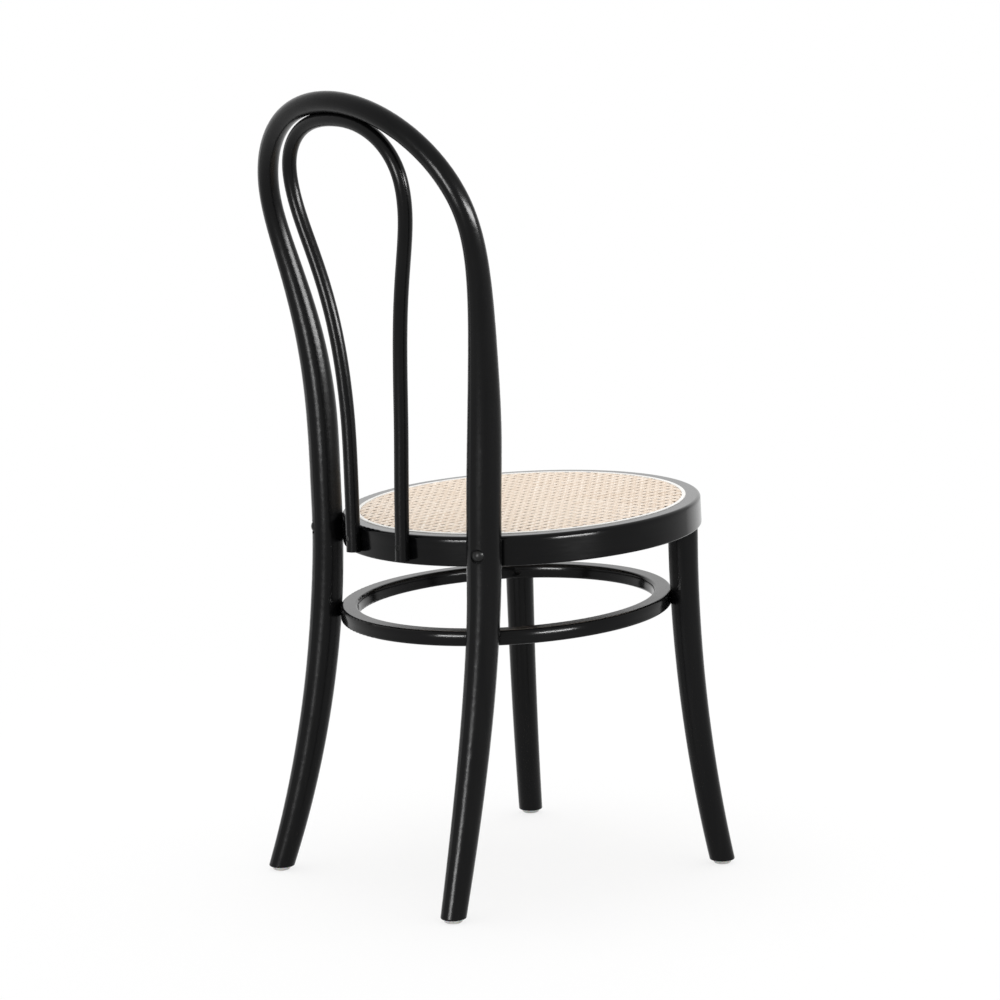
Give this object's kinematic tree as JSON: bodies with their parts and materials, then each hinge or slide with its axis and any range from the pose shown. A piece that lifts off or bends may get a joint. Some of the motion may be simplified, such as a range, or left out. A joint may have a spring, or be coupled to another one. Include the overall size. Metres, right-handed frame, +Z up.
{
  "type": "cane chair",
  "caption": "Bentwood side chair with a round woven cane seat, a hooped back with an inner loop, curved legs and a ring that ties the legs.",
  "frame": {"origin": "on the floor, under the middle of the chair's outer box", "axes": "+Z up, -Y the way the sitter faces, +X the sitter's left"},
  "size_m": [0.419, 0.488, 0.914],
  "materials": {
    "lacquered_wood": "black satin lacquer over bent beech",
    "cane": "natural woven cane, faintly glossy skin",
    "reed_spline": "bleached round reed, smooth",
    "blackened_steel": "black coated steel",
    "plated_steel": "zinc plated steel",
    "glide_plastic": "milky nylon"
  },
  "bodies": {
    "root": {"back_hoop": "lacquered_wood", "inner_loop": "lacquered_wood", "seat_ring": "lacquered_wood", "leg_ring": "lacquered_wood", "front_leg_left": "lacquered_wood", "front_leg_right": "lacquered_wood", "cane_panel": "cane", "cane_spline": "reed_spline", "hoop_bolts": "blackened_steel", "loop_foot_screws": "blackened_steel", "loop_top_screws": "blackened_steel", "leg_ring_screws": "blackened_steel", "front_leg_screws": "blackened_steel", "hoop_bolt_washers": "plated_steel", "hoop_bolt_nuts": "plated_steel", "glide_nails": "plated_steel", "glide_front_left": "glide_plastic", "glide_front_right": "glide_plastic", "glide_rear_left": "glide_plastic", "glide_rear_right": "glide_plastic"}
  },
  "joints": []
}
